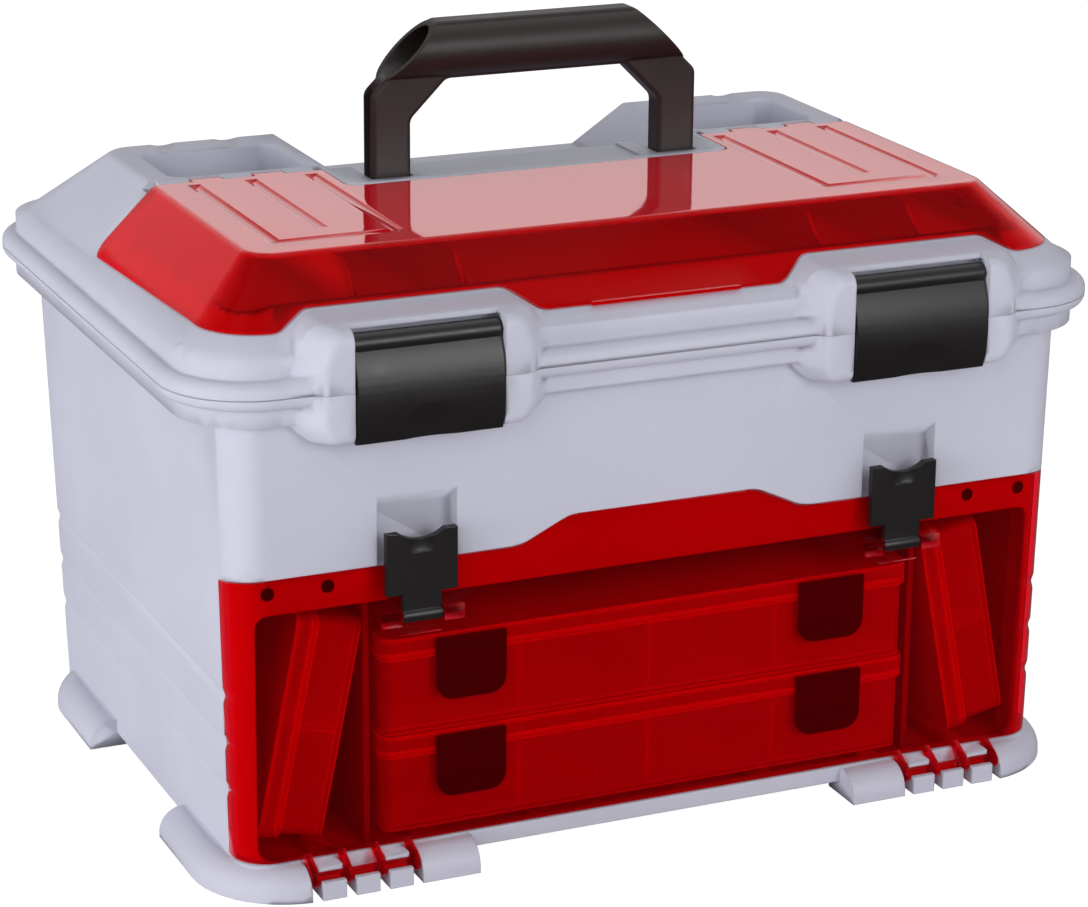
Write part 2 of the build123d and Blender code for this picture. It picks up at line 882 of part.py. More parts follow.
with BuildPart() as tray_dividers:
    add(crown_below_seat)
    add(divider_blocks.part, mode=Mode.INTERSECT)



def well_outline(side, z, grow):
    """The mouth of one well at one height."""
    with BuildSketch(Plane.XY.offset(z)) as mouth:
        with Locations((side * well_x, well_y)):
            RectangleRounded(well_width + 2 * grow, well_length + 2 * grow, well_corner + grow)
    return mouth.sketch


# Lid: bead, upright step, sloping crown with a tray, two wells and a channel for the handle
with BuildPart() as lid_shell:
    step_line = (step_width, step_front, step_rear, step_corner)
    crown_line = (crown_base_width, crown_base_front, crown_base_rear, crown_base_corner)
    extrude(ring(lid_bottom, *step_line), amount=step_top - lid_bottom)
    loft([ring(step_top, *step_line), ring(crown_base, *crown_line)], ruled=True)
    add(bead.part)
    add(outer_crown)
    add(upper_housings.part)
    tub(tub_wall, lid_bottom - overrun, lid_ceiling, mode=Mode.SUBTRACT)
    cavity = ring(
        lid_bottom - overrun,
        step_width - 2 * lid_wall,
        step_front + 2 * lid_wall,
        step_rear - 2 * lid_wall,
        step_corner - lid_wall,
    )
    extrude(cavity, amount=step_top - lid_wall - lid_bottom + overrun, mode=Mode.SUBTRACT)
    add(lid_hollow.part, mode=Mode.SUBTRACT)
    add(seat_hollow.part, mode=Mode.SUBTRACT)
    add(cover_seat_cut.part, mode=Mode.SUBTRACT)
    with BuildSketch(Plane.XY.offset(tray_floor)):
        with Locations((0, (tray_front + tray_rear) / 2)):
            RectangleRounded(2 * tray_half_width, tray_rear - tray_front, tray_corner)
        island_wall = island_half + lid_wall
        island_wall_front = island_front - lid_wall
        with Locations((0, (island_wall_front + cover_rear) / 2)):
            Rectangle(2 * island_wall, cover_rear - island_wall_front, mode=Mode.SUBTRACT)
    extrude(amount=crown_top - tray_floor + overrun, mode=Mode.SUBTRACT)
    add(tray_dividers.part)
    channel = (
        (-channel_base_half, channel_floor),
        (channel_base_half, channel_floor),
        (channel_top_half, crown_top),
        (channel_top_half, crown_top + overrun),
        (-channel_top_half, crown_top + overrun),
        (-channel_top_half, crown_top),
    )
    prism_y(channel, (channel_front, rear_reach), mode=Mode.SUBTRACT)
    island_y = (island_front + lid_wall, channel_front - lid_wall)
    island_z = (lid_bottom, crown_top - island_recess_depth - lid_wall)
    block(around(0, island_hollow_half), island_y, island_z, mode=Mode.SUBTRACT)
    block(
        around(0, island_recess_half),
        (island_front + 2 * lid_wall, channel_front + overrun),
        (crown_top - island_recess_depth, crown_top + overrun),
        mode=Mode.SUBTRACT,
    )
    for side in sides:
        levels = [well_outline(side, well_floor, 0)]
        for drop, spread in well_flare:
            levels.append(well_outline(side, crown_top - drop, spread))
        for lower, upper in zip(levels, levels[1:]):
            loft([lower, upper], ruled=True, mode=Mode.SUBTRACT)
        for hand in sides:
            dip_x = side * well_x + hand * well_dip_place
            dip_z = crown_top + well_dip_radius - well_dip_depth
            rod_y(dip_x, (well_y, rear_reach), dip_z, well_dip_radius, mode=Mode.SUBTRACT)
        # Slot for a handle post and the hole for its pin
        slot_x = both(side, handle_half_width - handle_post_width - side_gap, handle_half_width + side_gap)
        slot_front = handle_post_y - handle_post_depth / 2 - side_gap
        slot_y = (slot_front, channel_front + overrun)
        block(slot_x, slot_y, (handle_slot_floor, crown_top + overrun), mode=Mode.SUBTRACT)
        pin_x = (slot_x[0] - handle_pin_grip, slot_x[1] + handle_pin_grip)
        rod_x(pin_x, handle_pivot_y, handle_bottom, handle_pin_radius + pin_fit, mode=Mode.SUBTRACT)
        # Slot for a lid latch and the hole for its pin
        latch_x = around(side * lid_latch_x, lid_latch_width / 2 + side_gap)
        latch_z = (lid_bottom - overrun, housing_top + overrun)
        block(latch_x, (-reach - overrun, latch_lip_y), latch_z, mode=Mode.SUBTRACT)
        under_lip = (latch_z[0], lid_latch_axis_z + lid_latch_barrel + latch_lip_gap)
        block(latch_x, (latch_lip_y - overrun, latch_slot_back), under_lip, mode=Mode.SUBTRACT)
        pin_x = (latch_x[0] - lid_latch_pin_grip, latch_x[1] + lid_latch_pin_grip)
        pin_hole = lid_latch_pin_radius + pin_fit
        rod_x(pin_x, lid_latch_axis_y, lid_latch_axis_z, pin_hole, mode=Mode.SUBTRACT)
        # Rounded notches in the side rim of the tray
        for row in range(tray_notch_count):
            notch_y = tray_front + (row + 1) * tray_notch_pitch
            notch_x = both(side, tray_half_width - overrun, tray_half_width + lid_wall)
            notch_z = (tray_floor + tray_notch_height / 2, tray_floor + 3 * tray_notch_height / 2)
            block(notch_x, around(notch_y, tray_notch_width / 2), notch_z, mode=Mode.SUBTRACT)
        # Rear hinge: room for the tub's knuckles, then the lid's own
        spans = knuckles(lid_knuckle_count, lid_knuckle_width, side * lid_hinge_x, side_gap)
        for span in spans[::2]:
            clear = (span[0] - side_gap, span[1] + side_gap)
            rod_x(clear, lid_axis_y, seam, lid_knuckle_radius + side_gap, mode=Mode.SUBTRACT)
        for span in spans[1::2]:
            web_y = (step_rear - lid_wall, lid_axis_y)
            block(span, web_y, (lid_bottom, lid_bottom + lid_hinge_web))
            rod_x(span, lid_axis_y, seam, lid_knuckle_radius)
            rod_x(span, lid_axis_y, seam, lid_hinge_pin_radius + pin_fit, mode=Mode.SUBTRACT)
        # Cover hinge: a trough with the lid's knuckles in it
        spans = knuckles(cover_knuckle_count, cover_knuckle_width, side * cover_hinge_x, side_gap)
        trough_x = both(side, island_half - side_gap, cover_trough_end)
        trough_y = (cover_rear - overrun, cover_axis_y + cover_knuckle_radius + side_gap)
        trough_z = (cover_axis_z - cover_knuckle_radius - side_gap, crown_top + overrun)
        block(trough_x, trough_y, trough_z, mode=Mode.SUBTRACT)
        for span in spans[::2]:
            web_y = (cover_axis_y, trough_y[1] + side_gap)
            block(span, web_y, around(cover_axis_z, cover_knuckle_radius))
            rod_x(span, cover_axis_y, cover_axis_z, cover_knuckle_radius)
            rod_x(span, cover_axis_y, cover_axis_z, cover_pin_radius + pin_fit, mode=Mode.SUBTRACT)

# Red cover: a shell of the lid's own crown with grooved panels, a finger lip and knuckles
with BuildPart() as cover_space:
    cover_zone(0)

with BuildPart() as lid_cover:
    add(outer_crown)
    add(crown_below_cover, mode=Mode.SUBTRACT)
    add(cover_space.part, mode=Mode.INTERSECT)
    groove_z = crown_top + panel_groove_radius - panel_groove_depth
    for side in sides:
        for place in panel_grooves:
            short = place == panel_grooves[len(panel_grooves) // 2]
            groove_y = (panel_groove_short if short else panel_groove_front, panel_groove_rear)
            rod_y(side * place, groove_y, groove_z, panel_groove_radius, mode=Mode.SUBTRACT)
        cross = both(side, panel_grooves[0], panel_grooves[-1])
        rod_x(cross, panel_groove_front, groove_z, panel_groove_radius, mode=Mode.SUBTRACT)
        spans = knuckles(cover_knuckle_count, cover_knuckle_width, side * cover_hinge_x, side_gap)
        for span in spans[1::2]:
            block(span, (cover_rear - overrun, cover_axis_y), (crown_top - cover_thickness, crown_top))
            rod_x(span, cover_axis_y, cover_axis_z, cover_knuckle_radius)
            rod_x(span, cover_axis_y, cover_axis_z, cover_pin_radius + pin_fit, mode=Mode.SUBTRACT)
    run = crown_top_front - crown_base_front
    lip_edge = crown_base_front + run * (cover_low - crown_base) / (crown_top - crown_base)
    block(
        around(0, cover_lip_width / 2),
        (lip_edge - cover_lip_reach, lip_edge + cover_thickness),
        (cover_low, cover_low + cover_lip_height),
    )


def lid_latch(side):
    """A bowed latch plate with a barrel along its top and a thumb scoop at its foot."""
    middle = side * lid_latch_x
    bow = (lid_latch_axis_z + lid_latch_bottom) / 2
    foot_y = -reach + lid_latch_thickness
    barrel_top = lid_latch_axis_z + lid_latch_barrel
    with BuildPart() as latch:
        with BuildSketch(Plane.YZ.offset(middle - lid_latch_width / 2)):
            with BuildLine():
                outer = ThreePointArc(
                    (lid_latch_axis_y, barrel_top),
                    (lid_latch_ease - reach, bow),
                    (foot_y - pin_fit, lid_latch_bottom),
                )
                inner = ThreePointArc(
                    (foot_y + lid_latch_foot, lid_latch_bottom),
                    (-reach + lid_latch_thickness, bow),
                    (lid_latch_axis_y - lid_latch_barrel / 2, lid_latch_axis_z),
                )
                Line(outer @ 1, inner @ 0)
                Line(inner @ 1, outer @ 0)
            make_face()
        extrude(amount=lid_latch_width)
        rod_x(around(middle, lid_latch_width / 2), lid_latch_axis_y, lid_latch_axis_z, lid_latch_barrel)
        rib_low = lid_latch_bottom + lid_latch_rib_up
        rib_y = (-reach + lid_latch_thickness / 2, keeper_set_back - reach - 2 * flat_gap)
        block(around(middle, lid_latch_rib_width / 2), rib_y, (rib_low, rib_low + lid_latch_rib_height))
        with Locations((middle, foot_y - thumb_radius + thumb_depth, lid_latch_bottom - thumb_drop)):
            Sphere(thumb_radius, mode=Mode.SUBTRACT)
        whole = around(middle, lid_latch_width)
        pin_hole = lid_latch_pin_radius + pin_fit
        rod_x(whole, lid_latch_axis_y, lid_latch_axis_z, pin_hole, mode=Mode.SUBTRACT)
    return latch


lid_latches = {"left": lid_latch(-1), "right": lid_latch(1)}

# Carry handle: a round hollow grip with mitred ends on two channel-shaped posts
with BuildPart() as handle_outline:
    grip_z = handle_top - handle_grip_radius
    arch_top = handle_top - 2 * handle_grip_radius
    post_inner = handle_half_width - handle_post_width
    outline = (
        (-handle_half_width, handle_bottom),
        (-handle_half_width, handle_shoulder),
        (-handle_grip_half, handle_top),
        (handle_grip_half, handle_top),
        (handle_half_width, handle_shoulder),
        (handle_half_width, handle_bottom),
        (post_inner, handle_bottom),
        (post_inner, handle_arch_low),
        (handle_arch_half, arch_top),
        (-handle_arch_half, arch_top),
        (-post_inner, handle_arch_low),
        (-post_inner, handle_bottom),
    )
    soft_prism_y(outline, around(handle_post_y, handle_grip_radius), handle_corner)

with BuildPart() as carry_handle:
    post_y = around(handle_post_y, handle_post_depth / 2)
    soft_prism_y(outline, post_y, handle_corner)
    post_faces = carry_handle.edges().group_by(Axis.Y)
    fillet(post_faces[0] + post_faces[-1], handle_edge)
    rod_x(around(0, handle_half_width), handle_post_y, grip_z, handle_grip_radius)
    add(handle_outline.part, mode=Mode.INTERSECT)
    bore_radius = handle_grip_radius - handle_wall
    rod_x(around(0, handle_half_width + overrun), handle_post_y, grip_z, bore_radius, mode=Mode.SUBTRACT)
    for side in sides:
        post_x = both(side, post_inner, handle_half_width)
        channel_x = both(side, post_inner + handle_wall, handle_half_width + overrun)
        channel_y = around(handle_post_y, handle_post_depth / 2 - handle_wall)
        channel_z = (handle_bottom + handle_post_depth, handle_shoulder + overrun)
        block(channel_x, channel_y, channel_z, mode=Mode.SUBTRACT)
        rod_x(post_x, handle_post_y, handle_bottom, handle_post_depth / 2)
        rod_x(post_x, handle_pivot_y, handle_bottom, handle_pin_radius + pin_fit, mode=Mode.SUBTRACT)


def pin(x_range, y, z, radius):
    """A plain steel hinge pin along X."""
    with BuildPart() as rod:
        rod_x(x_range, y, z, radius)
    return rod


def row_span(count, width, middle):
    """The whole length of one row of knuckles."""
    spans = knuckles(count, width, middle, side_gap)
    return (spans[0][0], spans[-1][1])


pins = {}
for hand, side in zip(("left", "right"), sides):
    span = row_span(lid_knuckle_count, lid_knuckle_width, side * lid_hinge_x)
    pins["lid_hinge_pin_" + hand] = pin(span, lid_axis_y, seam, lid_hinge_pin_radius)
    span = row_span(cover_knuckle_count, cover_knuckle_width, side * cover_hinge_x)
    pins["cover_hinge_pin_" + hand] = pin(span, cover_axis_y, cover_axis_z, cover_pin_radius)
    half = lid_latch_width / 2 + side_gap + lid_latch_pin_grip - pin_fit
    span = around(side * lid_latch_x, half)
    pins["lid_latch_pin_" + hand] = pin(span, lid_latch_axis_y, lid_latch_axis_z, lid_latch_pin_radius)
    grip = side_gap + handle_pin_grip - pin_fit
    span = both(side, handle_half_width - handle_post_width - grip, handle_half_width + grip)
    pins["handle_pin_" + hand] = pin(span, handle_pivot_y, handle_bottom, handle_pin_radius)


def storage_box(plane, width, depth, height, rows, columns, latch):
    """A clear box on its own plane: tray, lid, loose dividers and two latches on its front."""
    latch_x, latch_width, latch_height = latch
    tray_height = height - box_lid_height
    inner_width = width - 2 * (box_lip + box_wall)
    inner_depth = depth - 2 * (box_lip + box_wall)
    with BuildPart() as tray:
        with BuildSketch(plane):
            RectangleRounded(width - 2 * box_lip, depth - 2 * box_lip, box_corner - box_lip)
        extrude(amount=tray_height)
        with BuildSketch(plane.offset(tray_height - box_lip)):
            RectangleRounded(width, depth, box_corner)
        extrude(amount=box_lip)
        with BuildSketch(plane.offset(box_floor)):
            RectangleRounded(inner_width, inner_depth, box_corner - box_lip - box_wall)
        extrude(amount=tray_height, mode=Mode.SUBTRACT)
        with BuildSketch(plane.offset(box_floor / 2)):
            with GridLocations(inner_width, inner_depth / rows, 1, rows - 1):
                Rectangle(inner_width + box_wall, box_divider)
        extrude(amount=tray_height - box_lip)
    with BuildPart() as lid:
        with BuildSketch(plane.offset(tray_height + flat_gap)):
            RectangleRounded(width, depth, box_corner)
        extrude(amount=box_lid_height - flat_gap)
        with BuildSketch(plane.offset(tray_height)):
            RectangleRounded(width - 2 * box_wall, depth - 2 * box_wall, box_corner - box_wall)
        extrude(amount=box_lid_height - box_floor, mode=Mode.SUBTRACT)
    with BuildPart() as dividers:
        with BuildSketch(plane.offset(box_floor)):
            with GridLocations(inner_width / columns, inner_depth / rows, columns - 1, rows):
                Rectangle(box_divider, inner_depth / rows - box_divider - 2 * flat_gap)
        extrude(amount=tray_height - box_floor - box_lip)
    with BuildPart() as latches:
        face = plane.offset(height - box_lip - latch_height)
        latch_y = -depth / 2 - box_latch_gap - box_latch_thickness / 2
        with BuildSketch(face):
            with Locations((-latch_x, latch_y), (latch_x, latch_y)):
                Rectangle(latch_width, box_latch_thickness)
        extrude(amount=latch_height)
        through = latches.edges().filter_by(Axis(plane.origin, plane.y_dir))
        foot_edges = through.group_by(Axis(plane.origin, plane.z_dir))[0]
        fillet(foot_edges, latch_width * box_latch_round_share)
    return {"tray": tray, "lid": lid, "dividers": dividers, "latches": latches}


# Two boxes stacked in the middle of the bay and one leaning against each partition
box_front = door_inner + box_travel + flat_gap
centre_y = box_front + box_latch_thickness + box_latch_gap + centre_box_depth / 2
centre_latch = (centre_latch_x, centre_latch_width, centre_latch_height)
boxes = {}
for place, name in enumerate(("lower_box", "upper_box")):
    base_z = runner_top + flat_gap + place * (centre_box_height + flat_gap)
    centre_plane = Plane(origin=(0, centre_y, base_z))
    centre_size = (centre_box_width, centre_box_depth, centre_box_height)
    boxes[name] = storage_box(
        centre_plane, *centre_size, centre_box_rows, centre_box_columns, centre_latch
    )

lean_sin = sin(radians(side_box_lean))
lean_cos = cos(radians(side_box_lean))
side_y = box_front + side_box_set_back + side_box_length / 2
side_latch = (side_latch_x, side_latch_width, side_latch_height)
half_rise = side_box_depth / 2
inner_edge = partition_inner + partition_thickness + side_box_gap
for side, name in zip(sides, ("left_box", "right_box")):
    lid_turn = -side * lean_sin
    depth_below = half_rise * lean_cos + max(0, -lid_turn) * side_box_height
    base_z = runner_top + flat_gap + depth_below
    lid_side = max(0, side) * side_box_height * lean_cos
    base_x = side * (inner_edge + half_rise * lean_sin + lid_side)
    lean_plane = Plane(origin=(base_x, side_y, base_z), x_dir=(0, 1, 0), z_dir=(-lean_cos, 0, lid_turn))
    side_size = (side_box_length, side_box_depth, side_box_height)
    boxes[name] = storage_box(lean_plane, *side_size, side_box_rows, side_box_columns, side_latch)

# Every piece is labelled and written to its own file
pieces = {
    "body_shell": body_shell,
    "mid_deck": mid_deck,
    "deck_screws": deck_screws,
    "front_door": front_door,
    "lid_shell": lid_shell,
    "lid_cover": lid_cover,
    "carry_handle": carry_handle,
}
for hand in ("left", "right"):
    pieces["bay_partition_" + hand] = partitions[hand]
    pieces["door_latch_" + hand] = door_latches[hand]
    pieces["lid_latch_" + hand] = lid_latches[hand]
pieces.update(pins)
for box_name, box_pieces in boxes.items():
    for piece_name, piece in box_pieces.items():
        pieces[box_name + "_" + piece_name] = piece

os.makedirs("parts", exist_ok=True)
for name, piece in pieces.items():
    placed = piece.part.moved(Location((0, frame_shift, 0)))
    placed.label = name
    export_step(placed, "parts/" + name + ".step")
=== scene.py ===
import math

import bmesh
import bpy
from mathutils import Matrix, Vector


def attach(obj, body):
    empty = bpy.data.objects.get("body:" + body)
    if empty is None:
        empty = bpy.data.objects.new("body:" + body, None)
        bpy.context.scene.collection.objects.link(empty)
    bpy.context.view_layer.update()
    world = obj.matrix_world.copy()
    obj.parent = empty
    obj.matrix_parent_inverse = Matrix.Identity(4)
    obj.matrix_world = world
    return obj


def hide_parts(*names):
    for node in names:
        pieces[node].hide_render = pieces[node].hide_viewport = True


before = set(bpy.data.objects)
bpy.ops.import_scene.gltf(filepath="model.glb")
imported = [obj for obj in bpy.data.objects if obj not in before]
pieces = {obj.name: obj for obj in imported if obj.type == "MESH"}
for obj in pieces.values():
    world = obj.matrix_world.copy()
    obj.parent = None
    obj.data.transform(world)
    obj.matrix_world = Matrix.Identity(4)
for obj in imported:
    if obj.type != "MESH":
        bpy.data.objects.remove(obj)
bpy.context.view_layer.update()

# The tub and the lid: injection-moulded in one light bluish-grey plastic with a fine spark-eroded
# texture on every outer face. The tub carries the feet, the jamb and the rear hinge knuckles, and
# the lid is a second moulding that closes on its rim.
GREY_FACE = (0.55, 0.552, 0.655, 1)
GREY_DEEP = (0.505, 0.507, 0.603, 1)
EDGE_SAMPLES = 6
WELD_DISTANCE = 0.00001
SHARP_FROM = math.radians(32)


def remap(tree, source, target):
    """A node that carries a value from the source span over to the target span."""
    node = tree.nodes.new("ShaderNodeMapRange")
    for end, number in zip(("From Min", "From Max", "To Min", "To Max"), (*source, *target)):
        node.inputs[end].default_value = number
    return node


def eased_edge(tree, radius):
    """A node with the normals of a surface whose edges are rounded off."""
    node = tree.nodes.new("ShaderNodeBevel")
    node.samples = EDGE_SAMPLES
    node.inputs["Radius"].default_value = radius
    return node


def two_tones(tree, deep, light):
    """A node that goes from a deep tone to a light one."""
    node = tree.nodes.new("ShaderNodeMix")
    node.data_type = "RGBA"
    node.inputs["A"].default_value = deep
    node.inputs["B"].default_value = light
    return node


def mould_grain_group():
    """Grain of a textured mould: pebbles for the bump, clouds for tone, and scuffs for shine."""
    group = bpy.data.node_groups.new("mould_grain", "ShaderNodeTree")
    face = group.interface
    face.new_socket("Place", in_out="INPUT", socket_type="NodeSocketVector")
    face.new_socket("Pebbles", in_out="INPUT", socket_type="NodeSocketFloat")
    for result in ("Pebble Height", "Clouds", "Scuffs"):
        face.new_socket(result, in_out="OUTPUT", socket_type="NodeSocketFloat")
    entry = group.nodes.new("NodeGroupInput")
    leave = group.nodes.new("NodeGroupOutput")
    pebbles = group.nodes.new("ShaderNodeTexNoise")
    pebbles.inputs["Detail"].default_value = 3.0
    pebbles.inputs["Roughness"].default_value = 0.6
    clouds = group.nodes.new("ShaderNodeTexNoise")
    clouds.inputs["Scale"].default_value = 9.0
    clouds.inputs["Detail"].default_value = 4.0
    streaks = group.nodes.new("ShaderNodeTexNoise")
    streaks.inputs["Scale"].default_value = 60.0
    streaks.inputs["Detail"].default_value = 6.0
    streaks.inputs["Distortion"].default_value = 1.4
    only_strong = remap(group, (0.58, 0.78), (0, 1))
    link = group.links.new
    for noise in (pebbles, clouds, streaks):
        link(entry.outputs["Place"], noise.inputs["Vector"])
    link(entry.outputs["Pebbles"], pebbles.inputs["Scale"])
    link(streaks.outputs["Fac"], only_strong.inputs["Value"])
    link(pebbles.outputs["Fac"], leave.inputs["Pebble Height"])
    link(clouds.outputs["Fac"], leave.inputs["Clouds"])
    link(only_strong.outputs["Result"], leave.inputs["Scuffs"])
    return group


mould_grain = mould_grain_group()


def moulded_plastic(name, light, deep, pebbles, pebble_height, shine, edge):
    """A plastic with mould grain: its tone and shine drift slowly, and its edges are eased."""
    material = bpy.data.materials.new(name)
    material.use_nodes = True
    tree = material.node_tree
    link = tree.links.new
    skin = tree.nodes["Principled BSDF"]
    place = tree.nodes.new("ShaderNodeTexCoord")
    grain = tree.nodes.new("ShaderNodeGroup")
    grain.node_tree = mould_grain
    grain.inputs["Pebbles"].default_value = pebbles
    tone = two_tones(tree, deep, light)
    spread = remap(tree, (0.3, 0.7), (0, 1))
    roughness = remap(tree, (0, 1), shine)
    eased = eased_edge(tree, edge)
    bump = tree.nodes.new("ShaderNodeBump")
    bump.inputs["Strength"].default_value = 0.5
    bump.inputs["Distance"].default_value = pebble_height
    link(place.outputs["Object"], grain.inputs["Place"])
    link(grain.outputs["Clouds"], spread.inputs["Value"])
    link(spread.outputs["Result"], tone.inputs["Factor"])
    link(tone.outputs["Result"], skin.inputs["Base Color"])
    link(grain.outputs["Scuffs"], roughness.inputs["Value"])
    link(roughness.outputs["Result"], skin.inputs["Roughness"])
    link(grain.outputs["Pebble Height"], bump.inputs["Height"])
    link(eased.outputs["Normal"], bump.inputs["Normal"])
    link(bump.outputs["Normal"], skin.inputs["Normal"])
    return material


def dress(material, *names):
    """Gives CAD nodes one finish."""
    for name in names:
        piece = pieces[name].data
        piece.materials.clear()
        piece.materials.append(material)


def smooth_copy(node, body, material):
    """A joined copy of a CAD node, shaded round over its curves, which stands for the node."""
    joined = bmesh.new()
    joined.from_mesh(pieces[node].data)
    bmesh.ops.remove_doubles(joined, verts=joined.verts, dist=WELD_DISTANCE)
    mesh = bpy.data.meshes.new(node + "_skin")
    joined.to_mesh(mesh)
    joined.free()
    mesh.shade_smooth()
    mesh.set_sharp_from_angle(angle=SHARP_FROM)
    mesh.materials.clear()
    mesh.materials.append(material)
    copy = bpy.data.objects.new(node + "_skin", mesh)
    bpy.context.scene.collection.objects.link(copy)
    even = copy.modifiers.new("even_normals", "WEIGHTED_NORMAL")
    even.keep_sharp = True
    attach(copy, body)
    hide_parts(node)


grey_plastic = moulded_plastic(
    "grey_plastic", light=GREY_FACE, deep=GREY_DEEP,
    pebbles=1400, pebble_height=0.00010, shine=(0.5, 0.42), edge=0.0012,
)
smooth_copy("body_shell", "body", grey_plastic)
smooth_copy("lid_shell", "lid", grey_plastic)

# The deck and the two partitions of the lower bay: plainer grey mouldings with less texture,
# dropped in from above. Four screws hold the deck's apron to the lintel.
# Their grey is set far darker than the tub's: painted shade for the dim inside of the bay.
shaded_bay_grey = moulded_plastic(
    "shaded_bay_grey", light=(0.30, 0.30, 0.33, 1), deep=(0.25, 0.25, 0.28, 1),
    pebbles=900, pebble_height=0.00006, shine=(0.45, 0.35), edge=0.0006,
)
dress(shaded_bay_grey, "mid_deck", "bay_partition_left", "bay_partition_right")

# Hinge pins: drawn steel wire with fine lines along its length. They join the lid to the tub, and
# the lid's latches, the cover and the handle to the lid.
LINES_ALONG_X = (40, 2500, 2500)
drawn_steel = bpy.data.materials.new("drawn_steel")
drawn_steel.use_nodes = True
tree = drawn_steel.node_tree
link = tree.links.new
skin = tree.nodes["Principled BSDF"]
skin.inputs["Metallic"].default_value = 1.0
place = tree.nodes.new("ShaderNodeTexCoord")
along = tree.nodes.new("ShaderNodeMapping")
along.inputs["Scale"].default_value = LINES_ALONG_X
lines = tree.nodes.new("ShaderNodeTexNoise")
lines.inputs["Scale"].default_value = 1.0
roughness = remap(tree, (0, 1), (0.22, 0.5))
steel_tone = two_tones(tree, (0.38, 0.38, 0.40, 1), (0.56, 0.56, 0.57, 1))
link(place.outputs["Object"], along.inputs["Vector"])
link(along.outputs["Vector"], lines.inputs["Vector"])
link(lines.outputs["Fac"], roughness.inputs["Value"])
link(roughness.outputs["Result"], skin.inputs["Roughness"])
link(lines.outputs["Fac"], steel_tone.inputs["Factor"])
link(steel_tone.outputs["Result"], skin.inputs["Base Color"])
for hand in ("left", "right"):
    for pin in ("lid_hinge_pin_", "lid_latch_pin_", "cover_hinge_pin_", "handle_pin_"):
        dress(drawn_steel, pin + hand)

# Deck screws: small steel screws with blackened heads, driven from the front through the lintel
# into the deck's apron. Their dark heads show through the top of the door.
black_steel = moulded_plastic(
    "black_steel", light=(0.020, 0.018, 0.018, 1), deep=(0.012, 0.011, 0.011, 1),
    pebbles=2200, pebble_height=0.00003, shine=(0.5, 0.38), edge=0.0003,
)
black_steel.node_tree.nodes["Principled BSDF"].inputs["Metallic"].default_value = 1.0
dress(black_steel, "deck_screws")

# Storage boxes: thin milky clear plastic trays, lids and loose dividers, with dark snap latches.
# The sheet lets part of the light through and turns more milky where it is seen edge-on, and near
# its edges and corners it is made more milky still: a painted highlight for the light that the
# edges gather.
CLEAR_PLASTIC_IOR = 1.5


def sheet_slant(tree):
    """How strongly a clear sheet mirrors at its slant, alike on its front and its back face."""
    face = tree.nodes.new("ShaderNodeNewGeometry")
    index = remap(tree, (0, 1), (CLEAR_PLASTIC_IOR, 1 / CLEAR_PLASTIC_IOR))
    slant = tree.nodes.new("ShaderNodeFresnel")
    tree.links.new(face.outputs["Backfacing"], index.inputs["Value"])
    tree.links.new(index.outputs["Result"], slant.inputs["IOR"])
    return slant.outputs["Fac"]


milky_clear = moulded_plastic(
    "milky_clear", light=(0.96, 0.94, 0.94, 1), deep=(0.90, 0.88, 0.88, 1),
    pebbles=300, pebble_height=0.00004, shine=(0.35, 0.22), edge=0.0006,
)
tree = milky_clear.node_tree
link = tree.links.new
through = tree.nodes.new("ShaderNodeBsdfTransparent")
through.inputs["Color"].default_value = (0.97, 0.96, 0.96, 1)
sheet_share = remap(tree, (0.04, 0.30), (0.26, 0.95))
flat = tree.nodes.new("ShaderNodeNewGeometry")
round_edge = eased_edge(tree, 0.0030)
turn = tree.nodes.new("ShaderNodeVectorMath")
turn.operation = "DOT_PRODUCT"
# Near the rounded edges the sheet is made more milky: a painted highlight for light gathered at the
# edges.
edge_highlight_mask = remap(tree, (0.99, 0.80), (0, 1))
slant_share_and_edge_highlight = tree.nodes.new("ShaderNodeMath")
slant_share_and_edge_highlight.operation = "MAXIMUM"
rays = tree.nodes.new("ShaderNodeLightPath")
shadow_share = remap(tree, (0, 1), (1, 0.35))
sheet_body = tree.nodes.new("ShaderNodeMath")
sheet_body.operation = "MULTIPLY"
milk = tree.nodes.new("ShaderNodeMixShader")
link(sheet_slant(tree), sheet_share.inputs["Value"])
link(round_edge.outputs["Normal"], turn.inputs[0])
link(flat.outputs["Normal"], turn.inputs[1])
link(turn.outputs["Value"], edge_highlight_mask.inputs["Value"])
link(sheet_share.outputs["Result"], slant_share_and_edge_highlight.inputs[0])
link(edge_highlight_mask.outputs["Result"], slant_share_and_edge_highlight.inputs[1])
link(rays.outputs["Is Shadow Ray"], shadow_share.inputs["Value"])
link(slant_share_and_edge_highlight.outputs["Value"], sheet_body.inputs[0])
link(shadow_share.outputs["Result"], sheet_body.inputs[1])
link(sheet_body.outputs["Value"], milk.inputs["Fac"])
link(through.outputs["BSDF"], milk.inputs[1])
link(tree.nodes["Principled BSDF"].outputs["BSDF"], milk.inputs[2])
link(milk.outputs["Shader"], tree.nodes["Material Output"].inputs["Surface"])
dark_snap = moulded_plastic(
    "dark_snap", light=(0.010, 0.006, 0.012, 1), deep=(0.007, 0.004, 0.009, 1),
    pebbles=900, pebble_height=0.00004, shine=(0.4, 0.3), edge=0.0005,
)
for box in ("lower_box", "upper_box", "left_box", "right_box"):
    dress(milky_clear, box + "_tray", box + "_lid", box + "_dividers")
    dress(dark_snap, box + "_latches")
